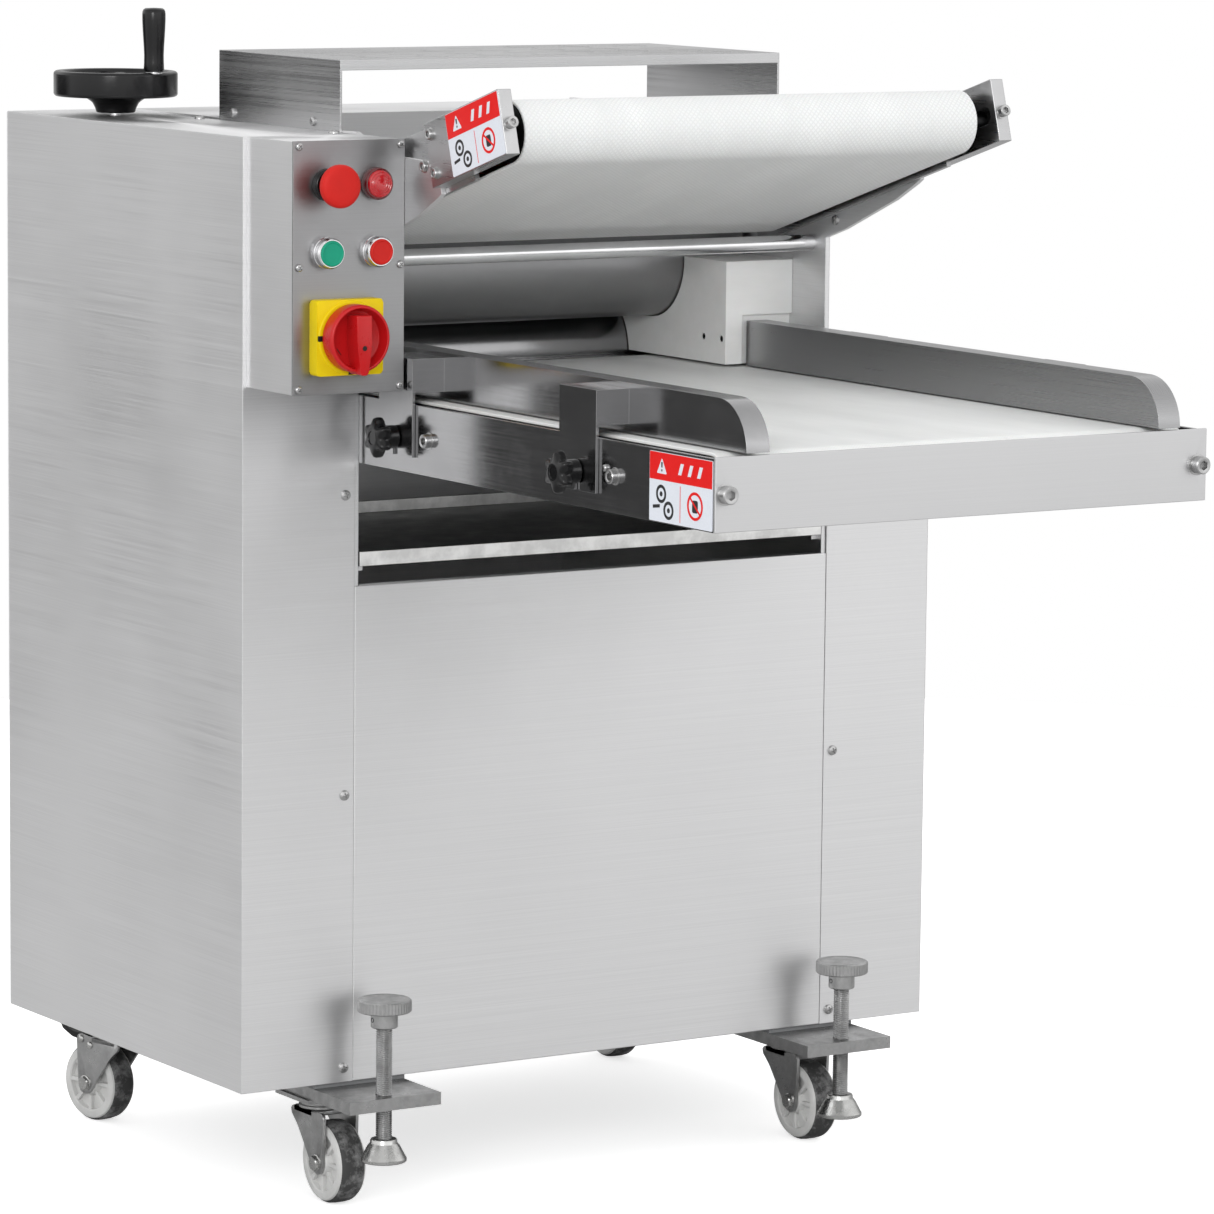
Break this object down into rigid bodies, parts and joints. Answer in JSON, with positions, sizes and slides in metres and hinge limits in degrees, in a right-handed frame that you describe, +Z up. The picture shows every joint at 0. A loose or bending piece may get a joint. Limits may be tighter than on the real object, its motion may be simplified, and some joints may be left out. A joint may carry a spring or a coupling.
{
  "type": "dough sheeter",
  "caption": "Floor-standing dough sheeter with a belt table, removable fences, adjustable sheeting rollers, a raised return conveyor, push-button controls, casters and floor jacks.",
  "frame": {"origin": "on the floor under the centre of the bounding box", "axes": "+Z up, -Y towards the operator and the infeed table, +X to the operator's right"},
  "size_m": [0.784, 1.134, 1.132],
  "materials": {
    "brushed_stainless": "fine horizontal brush grain",
    "panel_stainless": "fine vertical brush grain, darker",
    "polished_steel": "polished",
    "roller_steel": "ground and polished",
    "frame_steel": "satin grey paint",
    "zinc_steel": "zinc plated, satin",
    "belt_white": "smooth white belting with a fine diamond texture",
    "cheek_plastic": "machined white plastic",
    "black_plastic": "glossy",
    "red_plastic": "satin",
    "green_plastic": "satin",
    "yellow_plastic": "satin",
    "label_film": "printed film",
    "caster_plastic": "light grey nylon"
  },
  "bodies": {
    "machine": {"base_frame": "frame_steel", "side_walls": "brushed_stainless", "left_casing": "brushed_stainless", "right_casing": "brushed_stainless", "body_panels": "brushed_stainless", "rear_cover": "brushed_stainless", "top_shelf": "brushed_stainless", "control_box": "brushed_stainless", "control_panel": "panel_stainless", "panel_screws": "polished_steel", "cheek_blocks": "cheek_plastic", "cross_bars": "polished_steel", "conveyor_frame": "brushed_stainless", "conveyor_belt": "belt_white", "takeup_blocks": "polished_steel", "socket_bolts": "polished_steel", "table_frame": "polished_steel", "table_front_plate": "brushed_stainless", "table_belt": "belt_white", "label_plates": "label_film", "gearmotor": "frame_steel", "drive_chain": "frame_steel", "bearing_housings": "frame_steel", "foot_plates": "zinc_steel", "operator_bases": "yellow_plastic", "cable_gland": "black_plastic"},
    "roller_blocks": {"roller_blocks": "frame_steel"},
    "upper_roller": {"upper_roller": "roller_steel"},
    "lower_roller": {"lower_roller": "roller_steel"},
    "handwheel": {"handwheel": "black_plastic"},
    "wheel_grip": {"wheel_grip": "black_plastic"},
    "estop_button": {"estop_button": "red_plastic"},
    "start_button": {"start_button": "green_plastic"},
    "stop_button": {"stop_button": "red_plastic"},
    "switch_handle": {"switch_handle": "red_plastic"},
    "left_fence": {"left_fence": "polished_steel"},
    "right_fence": {"right_fence": "polished_steel"},
    "star_knob_lf": {"star_knob_lf": "black_plastic"},
    "star_knob_lr": {"star_knob_lr": "black_plastic"},
    "star_knob_rf": {"star_knob_rf": "black_plastic"},
    "star_knob_rr": {"star_knob_rr": "black_plastic"},
    "fork_fl": {"fork_fl": "zinc_steel"},
    "fork_fr": {"fork_fr": "zinc_steel"},
    "fork_rl": {"fork_rl": "zinc_steel"},
    "fork_rr": {"fork_rr": "zinc_steel"},
    "wheel_fl": {"wheel_fl": "caster_plastic"},
    "wheel_fr": {"wheel_fr": "caster_plastic"},
    "wheel_rl": {"wheel_rl": "caster_plastic"},
    "wheel_rr": {"wheel_rr": "caster_plastic"},
    "pedal_rl": {"pedal_rl": "black_plastic"},
    "pedal_rr": {"pedal_rr": "black_plastic"},
    "jack_foot_l": {"jack_foot_l": "zinc_steel"},
    "jack_foot_r": {"jack_foot_r": "zinc_steel"},
    "jack_screw_l": {"jack_screw_l": "zinc_steel"},
    "jack_screw_r": {"jack_screw_r": "zinc_steel"},
    "flour_tray": {"flour_tray": "panel_stainless"},
    "conveyor_drive_roller": {"conveyor_drive_roller": "roller_steel"},
    "conveyor_nose_roller": {"conveyor_nose_roller": "roller_steel"},
    "table_drive_roller": {"table_drive_roller": "roller_steel"},
    "table_nose_roller": {"table_nose_roller": "roller_steel"}
  },
  "joints": [
    {"name": "roller_gap", "type": "slide", "parent": "machine", "child": "roller_blocks", "axis": [0, 1, 0], "range_m": [0, 0.036]},
    {"name": "handwheel_turn", "type": "hinge", "parent": "machine", "child": "handwheel", "pos_m": [-0.3305, 0.4285, 1.025], "axis": [0, 0, -1], "range_deg": [0, 4320]},
    {"name": "grip_spin", "type": "hinge", "parent": "handwheel", "child": "wheel_grip", "pos_m": [-0.3155, 0.3765, 1.07], "axis": [0, 0, 1], "continuous": true},
    {"name": "upper_roller_spin", "type": "hinge", "parent": "roller_blocks", "child": "upper_roller", "pos_m": [-0.001, 0.253, 0.883], "axis": [1, 0, 0], "continuous": true},
    {"name": "lower_roller_spin", "type": "hinge", "parent": "machine", "child": "lower_roller", "pos_m": [-0.001, 0.355, 0.781], "axis": [1, 0, 0], "continuous": true},
    {"name": "conveyor_drive_spin", "type": "hinge", "parent": "machine", "child": "conveyor_drive_roller", "pos_m": [-0.001, 0.13425, 0.94314], "axis": [1, 0, 0], "continuous": true},
    {"name": "conveyor_nose_spin", "type": "hinge", "parent": "machine", "child": "conveyor_nose_roller", "pos_m": [-0.001, -0.186, 1.038], "axis": [1, 0, 0], "continuous": true},
    {"name": "table_drive_spin", "type": "hinge", "parent": "machine", "child": "table_drive_roller", "pos_m": [-0.001, 0.263, 0.756], "axis": [1, 0, 0], "continuous": true},
    {"name": "table_nose_spin", "type": "hinge", "parent": "machine", "child": "table_nose_roller", "pos_m": [-0.001, -0.525, 0.756], "axis": [1, 0, 0], "continuous": true},
    {"name": "estop_press", "type": "slide", "parent": "machine", "child": "estop_button", "axis": [0, 1, 0], "range_m": [0, 0.004], "stiffness_N_per_m": 900},
    {"name": "start_press", "type": "slide", "parent": "machine", "child": "start_button", "axis": [0, 1, 0], "range_m": [0, 0.003], "stiffness_N_per_m": 500},
    {"name": "stop_press", "type": "slide", "parent": "machine", "child": "stop_button", "axis": [0, 1, 0], "range_m": [0, 0.003], "stiffness_N_per_m": 500},
    {"name": "main_switch_turn", "type": "hinge", "parent": "machine", "child": "switch_handle", "pos_m": [-0.3365, -0.0514, 0.845], "axis": [0, 1, 0], "range_deg": [0, 90]},
    {"name": "left_fence_lift", "type": "slide", "parent": "machine", "child": "left_fence", "axis": [0, 0, 1], "range_m": [0, 0.06]},
    {"name": "right_fence_lift", "type": "slide", "parent": "machine", "child": "right_fence", "axis": [0, 0, 1], "range_m": [0, 0.06]},
    {"name": "star_knob_lf_turn", "type": "hinge", "parent": "machine", "child": "star_knob_lf", "pos_m": [-0.2696, -0.338, 0.747], "axis": [-1, 0, 0], "range_deg": [0, 720]},
    {"name": "star_knob_lr_turn", "type": "hinge", "parent": "machine", "child": "star_knob_lr", "pos_m": [-0.2696, -0.017, 0.747], "axis": [-1, 0, 0], "range_deg": [0, 720]},
    {"name": "star_knob_rf_turn", "type": "hinge", "parent": "machine", "child": "star_knob_rf", "pos_m": [0.2676, -0.338, 0.747], "axis": [1, 0, 0], "range_deg": [0, 720]},
    {"name": "star_knob_rr_turn", "type": "hinge", "parent": "machine", "child": "star_knob_rr", "pos_m": [0.2676, -0.017, 0.747], "axis": [1, 0, 0], "range_deg": [0, 720]},
    {"name": "swivel_fl", "type": "hinge", "parent": "machine", "child": "fork_fl", "pos_m": [-0.282, 0.098, 0.101], "axis": [0, 0, 1], "continuous": true},
    {"name": "roll_fl", "type": "hinge", "parent": "fork_fl", "child": "wheel_fl", "pos_m": [-0.282, 0.071, 0.04], "axis": [-1, 0, 0], "continuous": true},
    {"name": "swivel_fr", "type": "hinge", "parent": "machine", "child": "fork_fr", "pos_m": [0.265, 0.099, 0.101], "axis": [0, 0, 1], "continuous": true},
    {"name": "roll_fr", "type": "hinge", "parent": "fork_fr", "child": "wheel_fr", "pos_m": [0.265, 0.072, 0.04], "axis": [-1, 0, 0], "continuous": true},
    {"name": "swivel_rl", "type": "hinge", "parent": "machine", "child": "fork_rl", "pos_m": [-0.306, 0.475, 0.101], "axis": [0, 0, 1], "continuous": true},
    {"name": "roll_rl", "type": "hinge", "parent": "fork_rl", "child": "wheel_rl", "pos_m": [-0.31253, 0.5012, 0.04], "axis": [0.9703, 0.2419, 0], "continuous": true},
    {"name": "brake_rl", "type": "hinge", "parent": "fork_rl", "child": "pedal_rl", "pos_m": [-0.31398, 0.50702, 0.085], "axis": [0.9703, 0.2419, 0], "range_deg": [-12, 0]},
    {"name": "swivel_rr", "type": "hinge", "parent": "machine", "child": "fork_rr", "pos_m": [0.306, 0.475, 0.101], "axis": [0, 0, 1], "continuous": true},
    {"name": "roll_rr", "type": "hinge", "parent": "fork_rr", "child": "wheel_rr", "pos_m": [0.306, 0.502, 0.04], "axis": [1, 0, 0], "continuous": true},
    {"name": "brake_rr", "type": "hinge", "parent": "fork_rr", "child": "pedal_rr", "pos_m": [0.306, 0.508, 0.085], "axis": [1, 0, 0], "range_deg": [-12, 0]},
    {"name": "jack_lift_l", "type": "slide", "parent": "machine", "child": "jack_foot_l", "axis": [0, 0, -1], "range_m": [-0.01, 0.05]},
    {"name": "jack_turn_l", "type": "hinge", "parent": "jack_foot_l", "child": "jack_screw_l", "pos_m": [-0.263, 0.009, 0.058], "axis": [0, 0, -1], "range_deg": [-1800.1, 9000.1]},
    {"name": "jack_lift_r", "type": "slide", "parent": "machine", "child": "jack_foot_r", "axis": [0, 0, -1], "range_m": [-0.02, 0.036]},
    {"name": "jack_turn_r", "type": "hinge", "parent": "jack_foot_r", "child": "jack_screw_r", "pos_m": [0.263, 0.008, 0.044], "axis": [0, 0, -1], "range_deg": [-3600.1, 6480.1]},
    {"name": "flour_tray_slide", "type": "slide", "parent": "machine", "child": "flour_tray", "axis": [0, -1, 0], "range_m": [0, 0.25]}
  ],
  "couplings": [
    {"joint": "roller_gap", "follows": "handwheel_turn", "m_per_rad": 0.00047746},
    {"joint": "upper_roller_spin", "follows": "lower_roller_spin", "ratio": -1},
    {"joint": "conveyor_drive_spin", "follows": "lower_roller_spin", "ratio": -2},
    {"joint": "conveyor_nose_spin", "follows": "lower_roller_spin", "ratio": -2},
    {"joint": "table_drive_spin", "follows": "lower_roller_spin", "ratio": 2.4},
    {"joint": "table_nose_spin", "follows": "lower_roller_spin", "ratio": 2.4},
    {"joint": "jack_turn_l", "follows": "jack_lift_l", "rad_per_m": 3141.6},
    {"joint": "jack_turn_r", "follows": "jack_lift_r", "rad_per_m": 3141.6}
  ]
}
